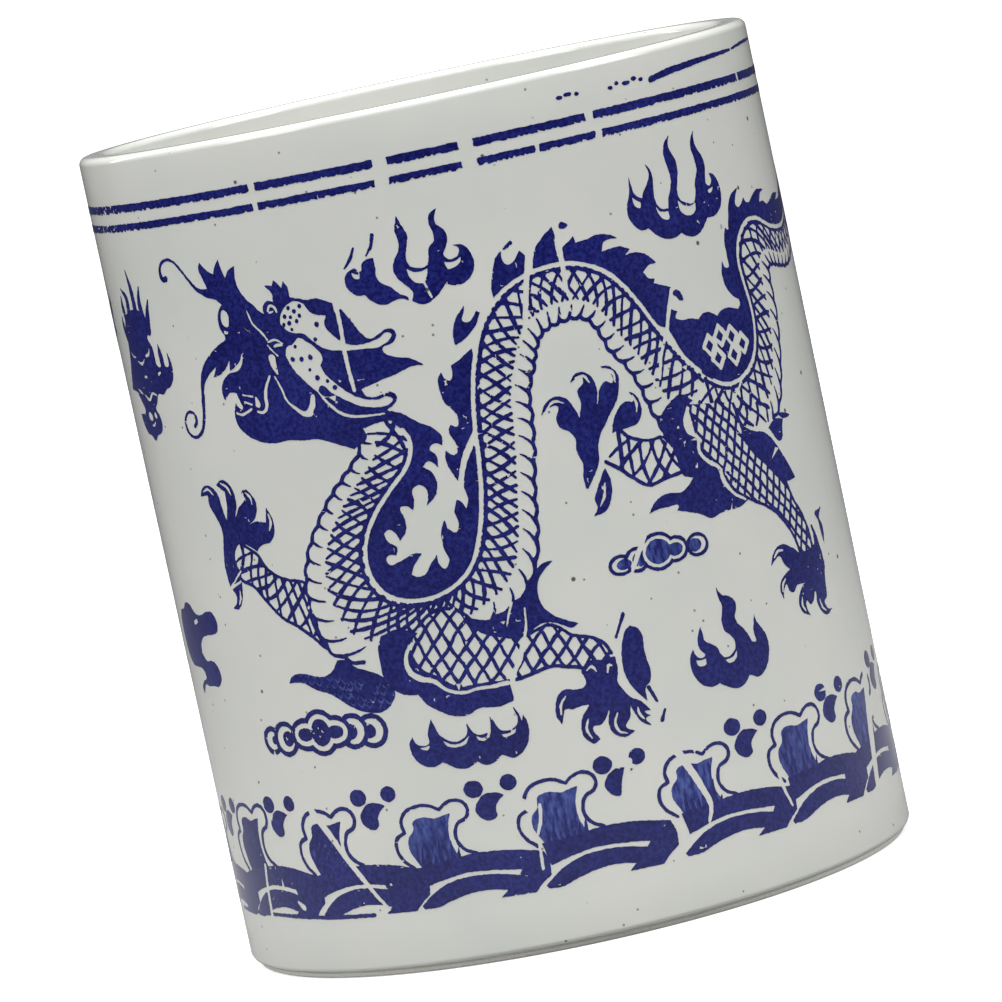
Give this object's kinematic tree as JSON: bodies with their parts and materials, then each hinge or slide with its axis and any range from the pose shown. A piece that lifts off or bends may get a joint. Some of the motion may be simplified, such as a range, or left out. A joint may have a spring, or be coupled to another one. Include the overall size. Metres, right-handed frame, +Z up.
{
  "type": "brush pot",
  "caption": "Cylindrical glazed porcelain pot with a rounded lip and a bare foot ring, for standing brushes and pens.",
  "frame": {"origin": "middle of the circle that the foot ring stands on", "axes": "+Z up along the pot's axis; -Y is the front, where the rising part of the dragon's body is"},
  "size_m": [0.098, 0.098, 0.1195],
  "materials": {
    "glazed_porcelain": "clear glossy glaze over white clay, with cobalt blue printing on the outside of the wall",
    "bare_porcelain": "matt unglazed clay, wiped clean before firing"
  },
  "bodies": {
    "root": {"wall": "glazed_porcelain", "floor_disc": "glazed_porcelain", "foot_ring": "bare_porcelain"}
  },
  "joints": []
}
